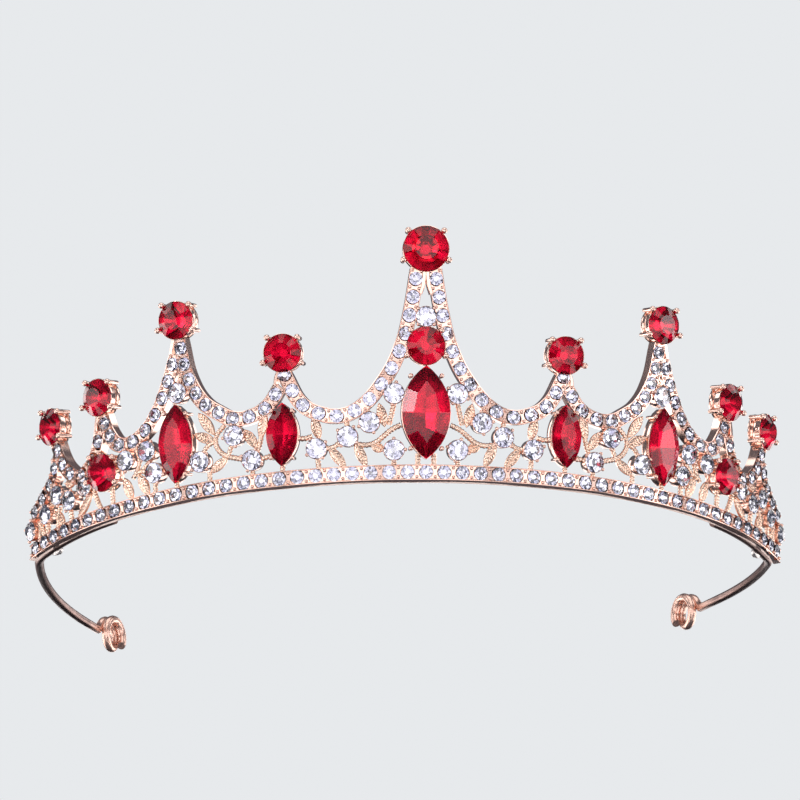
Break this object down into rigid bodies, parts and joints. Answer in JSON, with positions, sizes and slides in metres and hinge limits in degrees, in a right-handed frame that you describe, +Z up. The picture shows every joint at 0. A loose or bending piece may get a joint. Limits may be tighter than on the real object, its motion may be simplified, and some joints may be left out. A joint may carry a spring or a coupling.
{
  "type": "tiara",
  "caption": "Curved hair tiara with a jewelled, forward-leaning openwork panel of swags and peaks, and two springy wire arms that end in eyes for hair pins.",
  "frame": {"origin": "middle of the flat underside of the base band, at its front centre", "axes": "+Z up, -Y towards the front that the jewels face, +X towards the wearer's left"},
  "size_m": [0.1514, 0.1156, 0.0459],
  "materials": {
    "rose_gold": "polished rose-gold plating on cast alloy",
    "dark_wire": "drawn spring wire, dark rose-brown plating, semi-gloss",
    "bright_solder": "bright solder, polished",
    "red_crystal": "faceted foil-backed red crystal",
    "clear_crystal": "faceted foil-backed clear crystal"
  },
  "bodies": {
    "tiara": {"accent_cups": "rose_gold", "accent_stones": "clear_crystal", "band_stones": "clear_crystal", "base_band": "rose_gold", "centre_cup": "rose_gold", "centre_marquise_cup": "rose_gold", "centre_marquise_stone": "red_crystal", "centre_rail_left": "rose_gold", "centre_rail_right": "rose_gold", "centre_stone": "red_crystal", "end_cup_left": "rose_gold", "end_cup_right": "rose_gold", "end_stone_left": "red_crystal", "end_stone_right": "red_crystal", "inner_cup_left": "rose_gold", "inner_cup_right": "rose_gold", "inner_marquise_cup_left": "rose_gold", "inner_marquise_cup_right": "rose_gold", "inner_marquise_stone_left": "red_crystal", "inner_marquise_stone_right": "red_crystal", "inner_rail_left": "rose_gold", "inner_rail_right": "rose_gold", "inner_stone_left": "red_crystal", "inner_stone_right": "red_crystal", "inner_vine_left": "rose_gold", "inner_vine_right": "rose_gold", "low_cup_left": "rose_gold", "low_cup_right": "rose_gold", "low_stone_left": "red_crystal", "low_stone_right": "red_crystal", "middle_vine_left": "rose_gold", "middle_vine_right": "rose_gold", "outer_cup_left": "rose_gold", "outer_cup_right": "rose_gold", "outer_rail_left": "rose_gold", "outer_rail_right": "rose_gold", "outer_stone_left": "red_crystal", "outer_stone_right": "red_crystal", "outer_vine_left": "rose_gold", "outer_vine_right": "rose_gold", "rail_stones_left": "clear_crystal", "rail_stones_right": "clear_crystal", "side_rail_left": "rose_gold", "side_rail_right": "rose_gold", "solder_bead_left": "bright_solder", "solder_bead_right": "bright_solder", "tall_cup_left": "rose_gold", "tall_cup_right": "rose_gold", "tall_marquise_cup_left": "rose_gold", "tall_marquise_cup_right": "rose_gold", "tall_marquise_stone_left": "red_crystal", "tall_marquise_stone_right": "red_crystal", "tall_stone_left": "red_crystal", "tall_stone_right": "red_crystal", "top_cup": "rose_gold", "top_stone": "red_crystal", "wire_root_left": "dark_wire", "wire_root_right": "dark_wire"},
    "arm_left": {"wire_arm_left": "dark_wire"},
    "arm_right": {"wire_arm_right": "dark_wire"}
  },
  "joints": [
    {"name": "arm_left_flex", "type": "hinge", "parent": "tiara", "child": "arm_left", "pos_m": [0.07134, 0.03959, 0.00096], "axis": [0, 0, 1], "range_deg": [-10, 5], "stiffness_Nm_per_rad": 3.5},
    {"name": "arm_right_flex", "type": "hinge", "parent": "tiara", "child": "arm_right", "pos_m": [-0.07134, 0.03959, 0.00096], "axis": [0, 0, -1], "range_deg": [-10, 5], "stiffness_Nm_per_rad": 3.5}
  ]
}
